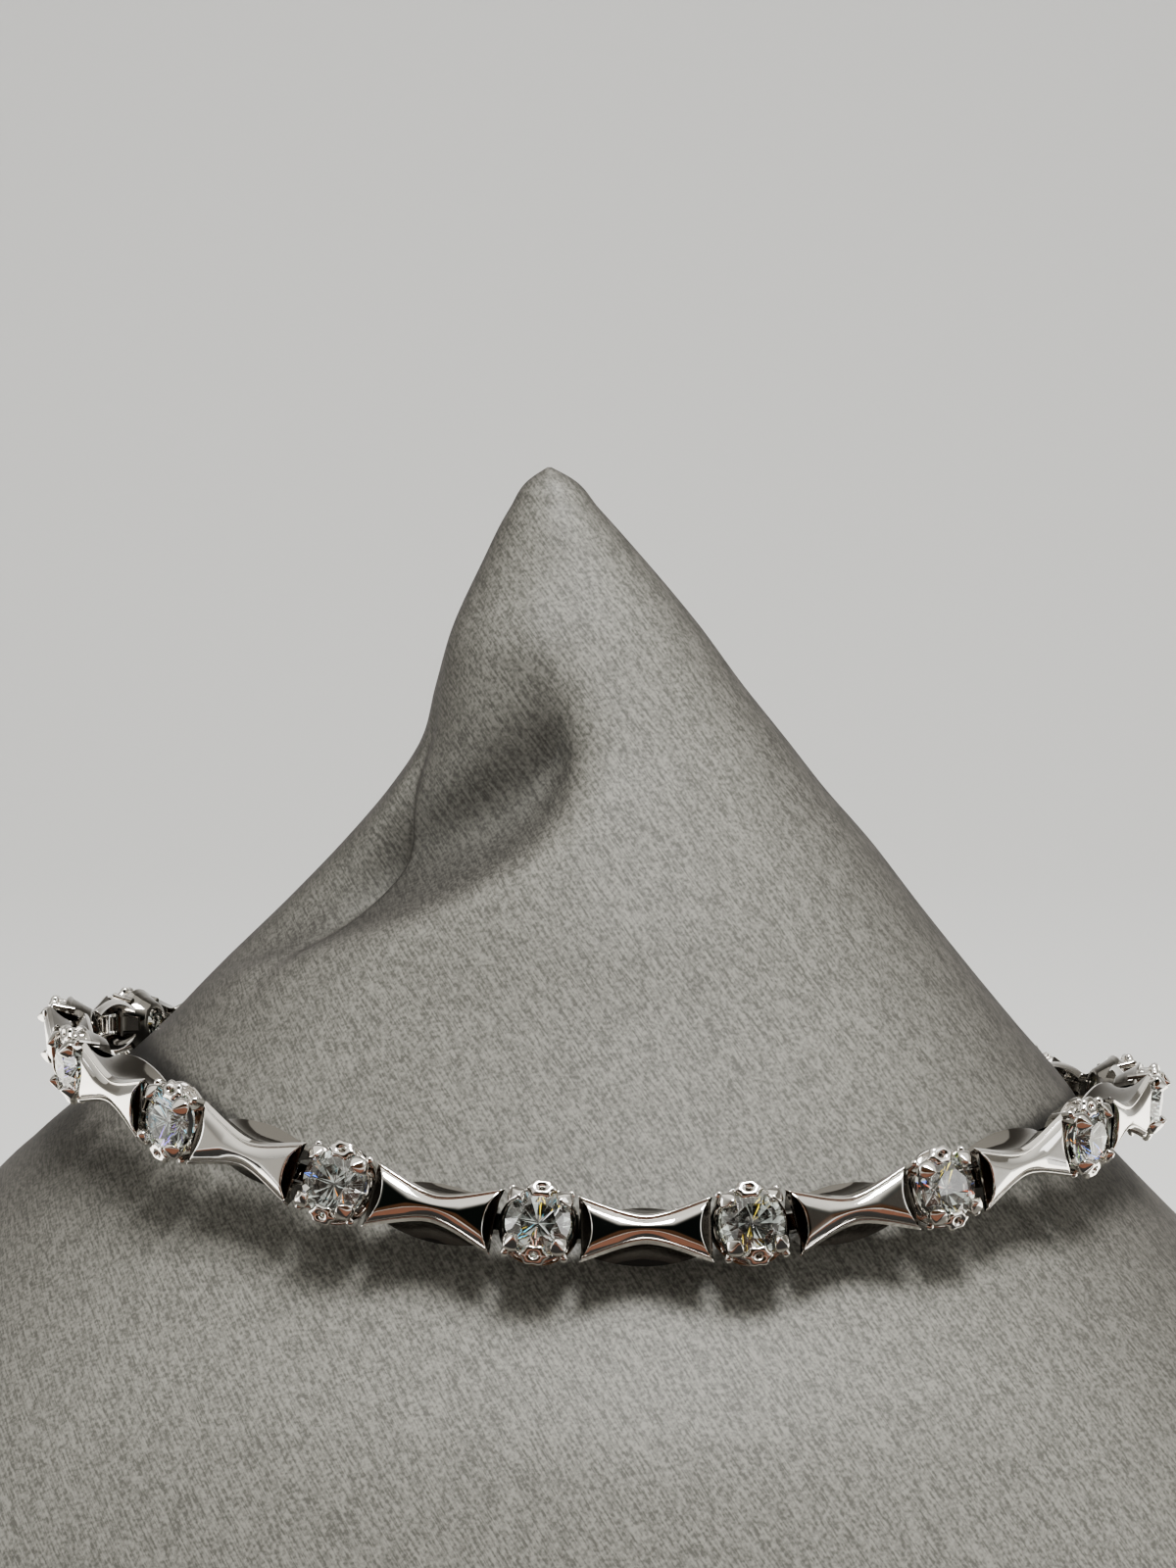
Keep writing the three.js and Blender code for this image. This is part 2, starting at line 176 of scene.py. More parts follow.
def bust_grid():
    """Closed rings of points from the base to the peak, and the rise and turn of each point. Each ring is
    four quarter ellipses of the section's own spans, pushed in and out by the folds."""
    seat = LOOP_HEIGHT - SEAT_DROP
    closing = np.sin(np.linspace(0, np.pi / 2, PEAK_RINGS + 1)[1:])
    level = np.concatenate([np.linspace(-1, PEAK_LEVEL, BUST_RINGS), PEAK_LEVEL + (1 - PEAK_LEVEL) * closing])
    spans = smooth_rows(BUST_SECTIONS, level)[:, :, None]
    turn = full_turn(BUST_AROUND)[None, :]
    width = (HALF_WIDTH - LINK_BACK - SEAT_GAP) * np.where(np.cos(turn) < 0, spans[:, 1], spans[:, 2])
    depth = (HALF_DEPTH - LINK_BACK - SEAT_GAP) * np.where(np.sin(turn) < 0, spans[:, 3], spans[:, 4])
    rise = np.maximum(level, 0)[:, None]
    grow = 1 + fold_out(rise, turn) / np.hypot(width, depth)
    height = seat + level * np.where(level < 0, seat, LOOP_HEIGHT + NECK_RISE - seat)
    x = -PEAK_SHIFT * rise**2 + width * np.cos(turn) * grow
    y = depth * np.sin(turn) * grow
    rise, turn = np.broadcast_arrays(rise, turn)
    return columns(x, y, height[:, None]), rise.ravel(), turn.ravel()


def painted_satin_shade_at(points, rise, turn):
    """How far painted shade darkens the satin at each point: a painted shadow in a band under the chain,
    which is wider at the sides of the neck, and painted shade in the fold from just under its valley to just
    over it."""
    below = chain_height(turn + np.pi / 2) - points[:, :, 2].ravel()
    band_end = BAND_WIDTH + BAND_EXTRA_AT_SIDES * np.cos(turn) ** 2
    under_chain = step_up(below, BAND_TOP, 0.15) * (1 - step_up(below, band_end, 0.22))
    within, valley_rise = fold_within(rise, turn, 0.045)
    over_valley = rise - valley_rise
    in_fold = within * step_up(over_valley, -FOLD_SHADE_BELOW, 0.03)
    in_fold *= 1 - step_up(over_valley, FOLD_SHADE_ABOVE, 0.05)
    return np.maximum(under_chain, FOLD_SHADE * in_fold)


def ring_quads(rings, around, wrapped):
    """Quads between neighbouring rings of points, and from the last ring to the first where wrapped."""
    ring, step = np.meshgrid(np.arange(rings if wrapped else rings - 1), np.arange(around), indexing="ij")
    here = ring * around + step
    beside = ring * around + (step + 1) % around
    quads = columns(here, beside, beside + around, here + around) % (rings * around)
    return quads.reshape(-1, 4).tolist()


def closed_skin(rings):
    """Vertices and faces of a closed shell: quads between neighbouring rings and a flat face on each end."""
    count, around = rings.shape[:2]
    ends = [list(range(around))[::-1], list(range((count - 1) * around, count * around))]
    return rings.reshape(-1, 3), ring_quads(count, around, wrapped=False) + ends


def piece(name, node, shell, material, crisp_angle=None, painted_recess_shade=None):
    """A finished piece from a shell in millimetres, with its place in its mesh, standing for a CAD node.
    Edges sharper than the crisp angle, in degrees, stay sharp; no angle makes every face flat. The painted
    recess shade says for each face how far painted shade darkens its colour."""
    points, faces = shell
    mesh = bpy.data.meshes.new(name)
    mesh.from_pydata(points * MM, [], faces)
    skin = bmesh.new()
    skin.from_mesh(mesh)
    bmesh.ops.recalc_face_normals(skin, faces=skin.faces)
    skin.to_mesh(mesh)
    skin.free()
    if crisp_angle is None:
        mesh.shade_flat()
    else:
        mesh.shade_smooth()
        mesh.set_sharp_from_angle(angle=math.radians(crisp_angle))
    if painted_recess_shade is not None:
        mesh.attributes.new("painted_recess_shade", "FLOAT", "FACE").data.foreach_set("value", painted_recess_shade)
    mesh.materials.append(material)
    obj = bpy.data.objects.new(name, mesh)
    bpy.context.scene.collection.objects.link(obj)
    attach(obj, "root")
    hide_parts(node)
    return obj


def new_material(name):
    """A material with its node tree and its surface shader."""
    material = bpy.data.materials.new(name)
    material.use_nodes = True
    return material, material.node_tree, material.node_tree.nodes["Principled BSDF"]


def set_inputs(node, values):
    """A shader node, with constant numbers and colours set on its own inputs."""
    for socket, value in values.items():
        node.inputs[socket].default_value = value
    return node


def set_stops(node, stops):
    """A colour ramp node with its (place, colour) stops set from 0 to 1."""
    elements = node.color_ramp.elements
    while len(elements) < len(stops):
        elements.new(1.0)
    for element, (place, color) in zip(elements, stops):
        element.position = place
        element.color = (*color, 1)
    return node


# A colour mixing node shares the names of its sockets with other types, so they go by their places.
COLOR_A, COLOR_B, COLOR_RESULT = 6, 7, 2


def color_mix(nodes, blend_type="MIX"):
    """A node that mixes its second colour into its first."""
    mix = nodes.new("ShaderNodeMix")
    mix.data_type = "RGBA"
    mix.blend_type = blend_type
    return mix


def leatherette():
    """Gray satin leatherette: fine threads slant down to the right over a soft mottle, with painted shade
    where it is seen at a glance, and a painted shadow under the chain and painted shade in the fold."""
    material, tree, surface = new_material("gray_satin_leatherette")
    nodes, links = tree.nodes, tree.links
    place = nodes.new("ShaderNodeTexCoord")
    thread_place = set_inputs(nodes.new("ShaderNodeMapping"), {
        "Rotation": (0.0, math.radians(54), 0.0), "Scale": (0.0011, 0.0011, 0.00010)})
    thread_place.vector_type = "TEXTURE"
    threads = set_inputs(nodes.new("ShaderNodeTexNoise"), {"Scale": 1.0, "Detail": 3.0})
    mottle = set_inputs(nodes.new("ShaderNodeTexNoise"), {"Scale": 5000.0, "Detail": 2.0})
    blend = set_inputs(nodes.new("ShaderNodeMix"), {"Factor": 0.5})
    tint = set_stops(nodes.new("ShaderNodeValToRGB"), [
        (0.40, (0.108, 0.106, 0.094)), (0.60, (0.255, 0.250, 0.224))])
    # Painted shadow and shade: a stored amount mixes the colour toward near black under the chain and in the
    # fold.
    painted_satin_shade = nodes.new("ShaderNodeAttribute")
    painted_satin_shade.attribute_name = "painted_satin_shade"
    painted_shade_mix = set_inputs(color_mix(nodes), {COLOR_B: (0.02, 0.019, 0.018, 1)})
    # Painted shade toward the outline: the satin's colour is darkened where it is seen at a glance.
    glance = set_inputs(nodes.new("ShaderNodeLayerWeight"), {"Blend": 0.5})
    depth = set_stops(nodes.new("ShaderNodeValToRGB"), [(0.25, (1, 1, 1)), (0.95, (0.22, 0.20, 0.20))])
    shade = set_inputs(color_mix(nodes, "MULTIPLY"), {"Factor": 1.0})
    relief = set_inputs(nodes.new("ShaderNodeBump"), {"Strength": 0.45, "Distance": 0.00004})
    links.new(place.outputs["Object"], thread_place.inputs["Vector"])
    links.new(thread_place.outputs["Vector"], threads.inputs["Vector"])
    links.new(place.outputs["Object"], mottle.inputs["Vector"])
    links.new(threads.outputs["Fac"], blend.inputs["A"])
    links.new(mottle.outputs["Fac"], blend.inputs["B"])
    links.new(blend.outputs["Result"], tint.inputs["Fac"])
    links.new(glance.outputs["Facing"], depth.inputs["Fac"])
    links.new(painted_satin_shade.outputs["Fac"], painted_shade_mix.inputs["Factor"])
    links.new(tint.outputs["Color"], painted_shade_mix.inputs[COLOR_A])
    links.new(painted_shade_mix.outputs[COLOR_RESULT], shade.inputs[COLOR_A])
    links.new(depth.outputs["Color"], shade.inputs[COLOR_B])
    links.new(shade.outputs[COLOR_RESULT], surface.inputs["Base Color"])
    links.new(blend.outputs["Result"], relief.inputs["Height"])
    links.new(relief.outputs["Normal"], surface.inputs["Normal"])
    set_inputs(surface, {"Roughness": 0.55, "Specular IOR Level": 0.3})
    return material


bust_points, bust_rise, bust_turn = bust_grid()
bust = piece("covered_bust", "display_bust", closed_skin(bust_points), leatherette(),
             BUST_CRISP_ANGLE)
# Painted shade: the satin's stored amount of painted shadow under the chain and painted shade in the fold.
painted_shade_amount = painted_satin_shade_at(bust_points, bust_rise, bust_turn)
bust.data.attributes.new("painted_satin_shade", "FLOAT", "POINT").data.foreach_set("value", painted_shade_amount)


# Heads
# Cast white gold baskets, one for each stone, spaced evenly on the chain's route: a cup with four beaded
# claws, a pierced gallery lobe above and below, corner posts, and an eye on either side for a link's pin.

UNIT_COUNT = 17
PITCH = BRACELET_LENGTH / UNIT_COUNT
FIRST_UNIT_TURN = math.radians(-175.7)
SIDE_TILT = math.radians(-5)
FRONT_TILT = math.radians(27)
ROUTE_STEPS = 7200
STONE_RADIUS = 1.65
CRESCENT_RADIUS = STONE_RADIUS + 0.85
PIN_RADIUS = 0.22
PIN_DEPTH = 0.25
PIN_INSET = 0.42
HINGE_GAP = 0.14
EYE_WALL = 0.2
EYE_HALF_THICKNESS = 0.42
EYE_AROUND = 32
TONGUE_START = 1.0
LOBE_RING_RADIUS, LOBE_RING_HALF_WIDTH, LOBE_HALF_THICKNESS = 0.42, 0.31, 0.26
LOBE_SCALLOPS, LOBE_SCALLOP_DEPTH, LOBE_SCALLOP_START = 6, 0.09, 0.3
LOBE_SQUASH, LOBE_LEAN, LOBE_PLACE, LOBE_LEVEL = 0.74, 0.35, 1.66, 1.14
# Painted shade on the heads: faces below the cup's seat level are darkened, more the lower they lie.
CUP_PAINTED_SHADE, CUP_PAINTED_SHADE_LEVEL = 0.8, 0.7
HEAD_CRISP_ANGLE = 40


def route_frames(units):
    """Places and axes (along, up, outward) of units on the route of the hinge line, evenly spaced by its
    length. The outward axis leans up or down from level, most at the front, where the neck flares."""
    turn = FIRST_UNIT_TURN + np.linspace(0, 2 * np.pi, ROUTE_STEPS + 1)
    line = columns(HALF_WIDTH * np.sin(turn), -HALF_DEPTH * np.cos(turn), chain_height(turn))
    run = np.concatenate([[0], np.cumsum(np.linalg.norm(np.diff(line, axis=0), axis=1))])
    at = np.asarray(units) / UNIT_COUNT * run[-1]
    step = 0.05
    points, before, after = (
        columns(*[np.interp(at + shift, run, coordinate, period=run[-1]) for coordinate in line.T])
        for shift in (0, -step, step)
    )
    along = (after - before) / np.linalg.norm(after - before, axis=1, keepdims=True)
    level = np.cross(along, [0, 0, 1])
    level /= np.linalg.norm(level, axis=1, keepdims=True)
    frontness = np.maximum(-points[:, 1:2] / HALF_DEPTH, 0) ** 3
    tilt = SIDE_TILT + (FRONT_TILT - SIDE_TILT) * frontness
    outward = level * np.cos(tilt) + np.cross(level, along) * np.sin(tilt)
    return points, np.stack([along, np.cross(outward, along), outward], axis=1)


def placed(shell, origin, axes):
    """A shell drawn in a unit's own axes, moved to its place on the route."""
    points, faces = shell
    return points @ axes + origin, faces


def joined(*shells):
    """Vertices and faces of several shells as one list."""
    points = []
    faces = []
    count = 0
    for shell_points, shell_faces in shells:
        points.append(shell_points)
        faces += [[index + count for index in face] for face in shell_faces]
        count += len(shell_points)
    return np.concatenate(points), faces


def link_end(height):
    """Half length of a link at a height over its middle: a crescent drawn round the neighbouring head."""
    return PITCH / 2 - np.sqrt(CRESCENT_RADIUS**2 - height**2)


# The pins lie behind the chain's middle line, so the round of the bracelet brings the eyes a little closer.
PIN_X = link_end(0.0) - PIN_INSET
EYE_X = PITCH / 2 * (1 - PIN_DEPTH * 2 * math.pi / BRACELET_LENGTH) - PIN_X


def turned(profile, around):
    """Closed shell of a profile of (radius, level) turned about the outward axis, the profile itself
    closed."""
    turn = full_turn(around)[:, None]
    radius, level = np.asarray(profile, dtype=float).T
    rings = columns(radius * np.cos(turn), radius * np.sin(turn), level)
    return rings.reshape(-1, 3), ring_quads(around, len(level), wrapped=True)


def drawn_wire(centres, side, half_side, half_across, around=16):
    """Closed shell of a wire along a flat curve: each ring is an ellipse spanned by the side direction and
    the curve's own normal, with the half thicknesses given at each point."""
    centres = np.asarray(centres, dtype=float)
    side = np.asarray(side, dtype=float)
    across = np.cross(np.gradient(centres, axis=0), side)
    across /= np.linalg.norm(across, axis=1, keepdims=True)
    turn = full_turn(around)[None, :, None]
    half_side = np.broadcast_to(half_side, len(centres))[:, None, None]
    half_across = np.broadcast_to(half_across, len(centres))[:, None, None]
    ring = np.cos(turn) * half_side * side + np.sin(turn) * half_across * across[:, None]
    return closed_skin(centres[:, None] + ring)


def turned_round(points, turn):
    """Points turned about the outward axis."""
    c, s = math.cos(turn), math.sin(turn)
    return points @ np.array([[c, s, 0], [-s, c, 0], [0, 0, 1]])


# Closed profile of the cup: radius and level, from its foot over the collar to the seat and down inside.
CUP_PROFILE = [
    [0.92, -1.00], [1.14, -1.00], [1.22, -0.94], [1.56, -0.42], [1.86, 0.02], [2.00, 0.12], [2.05, 0.20],
    [2.02, 0.30], [1.90, 0.34], [1.80, 0.32], [1.74, 0.38], [1.74, 0.50], [1.80, 0.60], [1.82, 0.70],
    [1.76, 0.77], [1.66, 0.78], [1.56, 0.74], [1.12, 0.24], [0.92, -0.30], [0.88, -0.92],
]

# Claw: level, middle distance from the stone's axis, half thickness in and across the radius.
CLAW_ROWS = np.array([
    [-0.10, 1.62, 0.32, 0.30],
    [0.50, 1.76, 0.26, 0.30],
    [0.95, 1.90, 0.17, 0.32],
    [1.20, 1.95, 0.18, 0.38],
    [1.38, 1.86, 0.31, 0.47],
    [1.50, 1.75, 0.40, 0.50],
    [1.60, 1.66, 0.42, 0.47],
    [1.78, 1.56, 0.29, 0.31],
    [1.94, 1.50, 0.10, 0.11],
    [1.99, 1.48, 0.03, 0.03],
])
CLAW_CORNER_POWER = 1.55

# Stem under each lobe, and corner post: levels and half thicknesses from the foot to the tip, the place of
# the foot from the stone's axis, and how far it leans out for each unit of its level.
ALONG = (1, 0, 0)
STEM_LEVELS = np.linspace(0.1, 1.0, 8)
STEM_HALF_WIDTHS, STEM_HALF_THICKNESS = np.linspace(0.55, 0.42, 8), 0.16
STEM_PLACE, STEM_LEAN = 1.62, 0.03
POST_LEVELS = np.array([-0.2, 0.3, 0.75, 0.98, 1.1, 1.14])
POST_HALF_WIDTHS = np.array([0.2, 0.2, 0.2, 0.23, 0.14, 0.04])
POST_PLACE, POST_LEAN_ALONG, POST_LEAN_OUT = 1.36, 0.1, 0.28


def claw(turn):
    """One claw: rings of four rounded sides stacked along the outward axis, bowed round the girdle and filed
    to a low pyramid over the crown."""
    rows = smooth_rows(CLAW_ROWS, np.linspace(CLAW_ROWS[0, 0], CLAW_ROWS[-1, 0], 34))
    level, middle, thick, wide = rows.T[:, :, None]
    around = full_turn(24)
    c, s = np.cos(around), np.sin(around)
    x = middle + thick * np.sign(c) * np.abs(c) ** CLAW_CORNER_POWER
    y = wide * np.sign(s) * np.abs(s) ** CLAW_CORNER_POWER
    rings = columns(x, y, level)
    return closed_skin(turned_round(rings.reshape(-1, 3), turn).reshape(rings.shape))


def lobe(side):
    """Gallery lobe between two claws: a thick pierced button with six scallops, leaning out over the rim."""
    turn = full_turn(16)
    radius = LOBE_RING_RADIUS + LOBE_RING_HALF_WIDTH * np.cos(turn)
    points, faces = turned(columns(radius, LOBE_HALF_THICKNESS * np.sin(turn)), 48)
    reach = np.hypot(points[:, 0], points[:, 1])
    waves = np.cos(LOBE_SCALLOPS * np.arctan2(points[:, 1], points[:, 0]))
    grown = np.clip((reach - LOBE_SCALLOP_START) / LOBE_SCALLOP_START, 0, 1)
    scallop = 1 + LOBE_SCALLOP_DEPTH * waves * grown
    points = points * columns(scallop, scallop, 1.0)
    c, s = math.cos(LOBE_LEAN * side), math.sin(LOBE_LEAN * side)
    points = points * [1.0, LOBE_SQUASH, 1.0] @ np.array([[1, 0, 0], [0, c, -s], [0, s, c]])
    return points + [0, side * LOBE_PLACE, LOBE_LEVEL], faces


def hinge_eye(side):
    """Flat tongue from the cup to a round eye about the link's pin: an outline with a hole, of even
    thickness, whose root is straightened and sunk in the cup."""
    hole = HINGE_GAP + PIN_RADIUS
    eye = EYE_WALL + hole
    turn = full_turn(EYE_AROUND)
    outer = columns(EYE_X + eye * np.cos(turn), eye * np.sin(turn))
    root = np.cos(turn) < -0.3
    outer[root, 0] = TONGUE_START
    outer[root, 1] = np.clip(outer[root, 1] * 1.05, -0.85 * eye, 0.85 * eye)
    inner = columns(EYE_X + hole * np.cos(turn), hole * np.sin(turn))
    half = EYE_HALF_THICKNESS
    walls = [(outer, -half), (outer, half), (inner, half), (inner, -half)]
    loops = np.array([columns(side * wall[:, 0], y, wall[:, 1] - PIN_DEPTH) for wall, y in walls])
    return loops.reshape(-1, 3), ring_quads(len(walls), EYE_AROUND, wrapped=True)


def head_shell():
    """Cup, claws, lobes, their stems, corner posts and hinge eyes of one head, in its own axes."""
    claws = [claw(math.radians(45 + 90 * quarter)) for quarter in range(4)]
    stems = []
    posts = []
    for side in (1, -1):
        centres = columns(0, side * (STEM_PLACE + STEM_LEAN * STEM_LEVELS), STEM_LEVELS)
        stems.append(drawn_wire(centres, ALONG, STEM_HALF_WIDTHS, STEM_HALF_THICKNESS))
    for end in (1, -1):
        for side in (1, -1):
            x = end * (POST_PLACE + POST_LEAN_ALONG * POST_LEVELS)
            y = side * (POST_PLACE + POST_LEAN_OUT * POST_LEVELS)
            centres = columns(x, y, POST_LEVELS)
            posts.append(drawn_wire(centres, ALONG, POST_HALF_WIDTHS, POST_HALF_WIDTHS, 12))
    cup = turned(CUP_PROFILE, 64)
    return joined(cup, *claws, lobe(1), lobe(-1), *stems, *posts, hinge_eye(1), hinge_eye(-1))


def white_gold():
    """Mirror-polished white gold with the faint waviness and fine wear of a cast and buffed surface, with
    painted shade where a stored amount darkens it, on the lower parts of the heads and the links' sides,
    rails and ends."""
    material, tree, surface = new_material("polished_white_gold")
    nodes, links = tree.nodes, tree.links
    place = nodes.new("ShaderNodeTexCoord")
    wear = set_inputs(nodes.new("ShaderNodeTexNoise"), {"Scale": 420.0, "Detail": 3.0})
    gloss = set_inputs(nodes.new("ShaderNodeMapRange"), {"To Min": 0.03, "To Max": 0.12})
    relief = set_inputs(nodes.new("ShaderNodeBump"), {"Strength": 0.08, "Distance": 0.0001})
    painted_recess_shade = nodes.new("ShaderNodeAttribute")
    painted_recess_shade.attribute_name = "painted_recess_shade"
    # Painted shade: the stored amount mixes the gold toward a dark gray.
    tone = set_inputs(color_mix(nodes), {COLOR_A: (0.93, 0.905, 0.87, 1), COLOR_B: (0.15, 0.14, 0.125, 1)})
    links.new(place.outputs["Object"], wear.inputs["Vector"])
    links.new(wear.outputs["Fac"], gloss.inputs["Value"])
    links.new(gloss.outputs["Result"], surface.inputs["Roughness"])
    links.new(wear.outputs["Fac"], relief.inputs["Height"])
    links.new(relief.outputs["Normal"], surface.inputs["Normal"])
    links.new(painted_recess_shade.outputs["Fac"], tone.inputs["Factor"])
    links.new(tone.outputs[COLOR_RESULT], surface.inputs["Base Color"])
    set_inputs(surface, {"Metallic": 1.0})
    return material


polished_gold = white_gold()
head = head_shell()
# Painted shade: each face of a head below the cup's seat level is darkened, more the lower it lies.
head_levels = np.array([head[0][face, 2].mean() for face in head[1]])
head_painted_shade = CUP_PAINTED_SHADE * np.clip(CUP_PAINTED_SHADE_LEVEL - head_levels, 0, 1)
head_places, head_axes = route_frames(np.arange(UNIT_COUNT))
for unit in range(UNIT_COUNT):
    shell = placed(head, head_places[unit], head_axes[unit])
    number = f"{unit + 1:02d}"
    piece(f"claw_head_{number}", f"setting_{number}", shell, polished_gold, HEAD_CRISP_ANGLE,
          head_painted_shade)


# Stones
# Round brilliants, cut with a table, eight stars, eight kites and sixteen upper halves over the girdle,
# and eight mains with sixteen lower halves under it. They sit in the cups under the claws' beads.

GIRDLE_LEVEL = 1.15
HALF_GIRDLE = 0.04
CROWN_HEIGHT = 0.51
PAVILION_DEPTH = 1.39
TABLE_RADIUS = 0.57 * STONE_RADIUS
KITE_RADIUS, KITE_LEVEL = 0.80 * STONE_RADIUS, GIRDLE_LEVEL + 0.52 * CROWN_HEIGHT
STAR_RADIUS, STAR_LEVEL = 0.22 * STONE_RADIUS, GIRDLE_LEVEL - 0.79 * PAVILION_DEPTH

# Tints of the painted fire glow: blue, orange, cyan, red orange, violet, yellow, green and white.
FIRE_TINTS = np.array([
    [0.10, 0.25, 1.00], [1.00, 0.38, 0.06], [0.15, 0.75, 1.00], [1.00, 0.20, 0.08], [0.35, 0.18, 1.00],
    [1.00, 0.78, 0.10], [0.45, 0.90, 0.25], [1.00, 1.00, 1.00],
])
# Painted light in the stones: chosen facets under the girdle glow as painted fire and glints, and others are
# tinted dark as painted dark reflections.
GLINT_TINT = [0.92, 1.0, 0.93]
DARK_SHARE, DARK_TONES = 0.5, (0.05, 0.4)
FIRE_SHARE, FIRE_STRENGTHS = 0.12, (0.8, 2.0)
GLINT_SHARE, GLINT_STRENGTHS = 0.2, (0.08, 0.8)
FIRE_FACET_AREA = 0.13
FIRE_FREE_RADIUS = 0.6
FIRE_SEED = 17


def brilliant():
    """All facets of the brilliant as flat faces, in the head's axes. Those under the girdle are quartered,
    so that each quarter can carry its own painted dark tone and painted glint."""
    def circle(count, radius, level, offset=0.0):
        turn = (np.arange(count) + offset) / count * 2 * np.pi
        return columns(radius * np.cos(turn), radius * np.sin(turn), level)

    points = np.concatenate([
        circle(8, TABLE_RADIUS, GIRDLE_LEVEL + CROWN_HEIGHT),
        circle(8, KITE_RADIUS, KITE_LEVEL, 0.5),
        circle(16, STONE_RADIUS, GIRDLE_LEVEL + HALF_GIRDLE),
        circle(16, STONE_RADIUS, GIRDLE_LEVEL - HALF_GIRDLE),
        circle(8, STAR_RADIUS, STAR_LEVEL, 0.5),
        [[0, 0, GIRDLE_LEVEL - PAVILION_DEPTH]],
    ])
    table, kite, upper, lower, star, culet = 0, 8, 16, 32, 48, 56
    i = np.arange(8)
    before, after = (i - 1) % 8, (i + 1) % 8
    left, middle, right = 2 * i, 2 * i + 1, (2 * i + 2) % 16
    a = np.arange(16)
    beside = (a + 1) % 16
    crown = [
        columns(table + i, kite + i, table + after),
        columns(table + i, kite + before, upper + left, kite + i),
        columns(kite + i, upper + left, upper + middle),
        columns(kite + i, upper + middle, upper + right),
        columns(upper + a, lower + a, lower + beside, upper + beside),
    ]
    under = np.concatenate([
        columns(star + i, lower + middle, lower + left),
        columns(star + i, lower + right, lower + middle),
        columns(lower + left, culet, star + i),
        columns(lower + left, star + before, culet),
    ])
    middles = len(points) + np.arange(3 * len(under)).reshape(-1, 3)
    edge_points = (points[under] + points[np.roll(under, -1, axis=1)]) / 2
    (p, q, r), (pq, qr, rp) = under.T, middles.T
    quarters = [columns(p, pq, rp), columns(q, qr, pq), columns(r, rp, qr), columns(pq, qr, rp)]
    faces = [list(range(8))]
    for group in crown + quarters:
        faces += group.tolist()
    return np.concatenate([points, edge_points.reshape(-1, 3)]), faces


def diamond():
    """Clear stone of high refraction. Each facet keeps its own painted dark tone, a painted dark reflection,
    and a few glow with a painted spark of fire or glint.
    """
    material, tree, surface = new_material("clear_diamond")
    for name, socket in (("facet_painted_dark_tone", "Base Color"), ("facet_painted_glow", "Emission Color")):
        kept = tree.nodes.new("ShaderNodeAttribute")
        kept.attribute_name = name
        tree.links.new(kept.outputs["Color"], surface.inputs[socket])
    set_inputs(surface, {"Roughness": 0.0, "IOR": 2.42, "Transmission Weight": 1.0, "Emission Strength": 1.0})
    return material


diamond_finish = diamond()
stone = brilliant()
facet_count = len(stone[1])
facet_corners = np.array([len(face) for face in stone[1]])
facet_middles = np.array([stone[0][face].mean(axis=0) for face in stone[1]])
under_girdle = facet_middles[:, 2] < GIRDLE_LEVEL - HALF_GIRDLE
off_centre = np.hypot(facet_middles[:, 0], facet_middles[:, 1]) > FIRE_FREE_RADIUS
chance = np.random.default_rng(FIRE_SEED)
for unit in range(UNIT_COUNT):
    spun = (turned_round(stone[0], chance.uniform(0, math.pi / 4)), stone[1])
    shell = placed(spun, head_places[unit], head_axes[unit])
    number = f"{unit + 1:02d}"
    obj = piece(f"brilliant_{number}", f"stone_{number}", shell, diamond_finish)
    # Painted dark reflections on half the facets under the girdle, and painted fire and glints glowing from a
    # few.
    dark = under_girdle & (chance.random(facet_count) < DARK_SHARE)
    tone = np.where(dark, chance.uniform(*DARK_TONES, facet_count), 1.0)
    fire = FIRE_TINTS[chance.integers(0, len(FIRE_TINTS), facet_count)]
    fire = fire * chance.uniform(*FIRE_STRENGTHS, (facet_count, 1))
    glint = chance.uniform(*GLINT_STRENGTHS, facet_count)
    glint *= under_girdle & (chance.random(facet_count) < GLINT_SHARE)
    small = np.array([face.area for face in obj.data.polygons]) < FIRE_FACET_AREA * MM**2
    fire *= (under_girdle & small & off_centre & (chance.random(facet_count) < FIRE_SHARE))[:, None]
    fire += glint[:, None] * GLINT_TINT
    for name, colors in (("facet_painted_dark_tone", tone[:, None]), ("facet_painted_glow", fire)):
        colors = np.column_stack([np.broadcast_to(colors, (facet_count, 3)), np.ones(facet_count)])
        layer = obj.data.color_attributes.new(name, "FLOAT_COLOR", "CORNER")
        layer.data.foreach_set("color", np.repeat(colors, facet_corners, axis=0).ravel())


# Bone links
# Cast and polished bars between the heads: a bone outline with a narrow waist and four horns, a bevel along
# its face, scooped sides, a leaf-shaped hollow back, and a pin soldered across each end for the heads' eyes.

LINK_FRONT = 1.1
HORN_HALF_HEIGHT = 1.7
HORN_POWER = 1.7
WAIST_HALF_HEIGHT = 0.76
RAIL_HALF_HEIGHT = 1.5
RAIL_END_HALF_HEIGHT = 0.95
RAIL_POWER = 1.8
BEVEL = 0.24
BEVEL_WIDTH = 0.14
LINK_WALL = 0.3
FRONT_WALL = 0.5
SCOOP = 0.34
LIP_WIDTH = 0.16
LIP_HEIGHT = 0.05
FACE_SET_BACK = 0.04
FACE_ROUND = 0.75
FACE_DOME = 0.26
END_ROUND = 0.08
PIN_HALF_LENGTH = 0.92
STATIONS = 57
FACE_STEPS, LIP_STEPS, BEVEL_STEPS, FLANK_STEPS, RAIL_STEPS, HOLLOW_STEPS = 16, 8, 4, 13, 5, 14
# Painted shade on the links: scooped sides, lower rail, inner lower lip and pins, and the ends a little less.
SIDE_PAINTED_SHADE = 0.85
END_PAINTED_SHADE = 0.72
LINK_CRISP_ANGLE = 28


